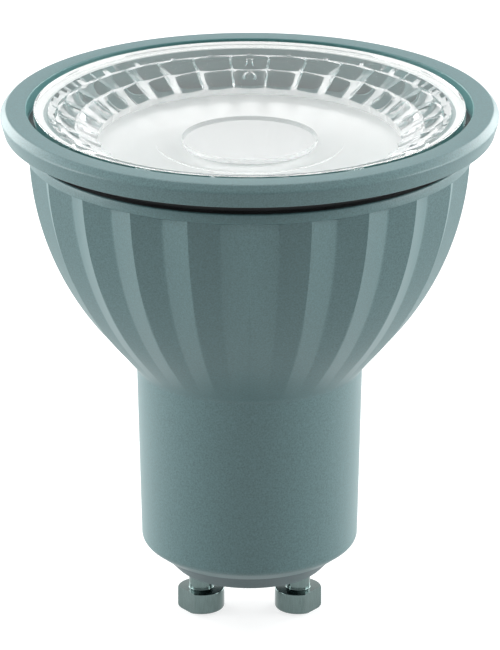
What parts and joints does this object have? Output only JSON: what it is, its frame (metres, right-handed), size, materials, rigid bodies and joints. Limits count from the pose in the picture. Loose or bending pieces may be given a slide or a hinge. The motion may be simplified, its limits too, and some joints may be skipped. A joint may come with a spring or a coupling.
{
  "type": "gu10 spotlight bulb",
  "caption": "Reflector-shaped LED spotlight lamp with a fluted bowl, faceted clear lens and twist-lock pin base",
  "frame": {"origin": "on the lamp's axis, level with the tips of the contact pins", "axes": "+Z is the lamp's axis towards the lens; the two contact pins lie on X; +Y is the side of the lens's key rib"},
  "size_m": [0.05, 0.05, 0.0545],
  "materials": {
    "housing_grey": "fine satin grain, grey with a green-blue cast",
    "cap_grey": "matte moulded plastic, a shade darker than the housing",
    "lens_clear": "clear polished acrylic",
    "seal_white": "white silicone",
    "pin_nickel": "turned, nickel plated, fine turning marks",
    "diffuser_milky": "milky, slightly translucent",
    "board_white": "white solder mask on aluminium",
    "emitter_ceramic": "white ceramic",
    "emitter_gel": "soft phosphor gel",
    "pad_grey": "soft thermal pad",
    "sink_aluminium": "pressed bare aluminium",
    "driver_laminate": "green glass-fibre laminate",
    "capacitor_sleeve": "dark shrink sleeve",
    "ferrite": "dark sintered ferrite",
    "copper": "enamelled copper wire",
    "film_yellow": "yellow moulded box",
    "resistor_body": "pale green enamel",
    "package_black": "black moulding compound",
    "lead_white": "white silicone insulation",
    "lead_red": "red insulation",
    "lead_black": "black insulation"
  },
  "bodies": {
    "root": {"bezel_ring": "housing_grey", "housing": "housing_grey", "base_end_cap": "cap_grey", "optic_lens": "lens_clear", "lens_seal": "seal_white", "contact_pin_left": "pin_nickel", "contact_pin_right": "pin_nickel", "light_diffuser": "diffuser_milky", "led_board": "board_white", "emitter_base": "emitter_ceramic", "emitter_dam": "emitter_ceramic", "emitter_gel": "emitter_gel", "thermal_pad": "pad_grey", "heat_sink": "sink_aluminium", "driver_board": "driver_laminate", "smoothing_capacitor": "capacitor_sleeve", "output_capacitor": "capacitor_sleeve", "choke_core": "ferrite", "choke_winding": "copper", "film_capacitor": "film_yellow", "fusible_resistor": "resistor_body", "bridge_rectifier": "package_black", "driver_chip": "package_black", "freewheel_diode": "package_black", "chip_resistors": "package_black", "mains_lead_left": "lead_white", "mains_lead_right": "lead_white", "led_lead_negative": "lead_black", "led_lead_positive": "lead_red"}
  },
  "joints": []
}
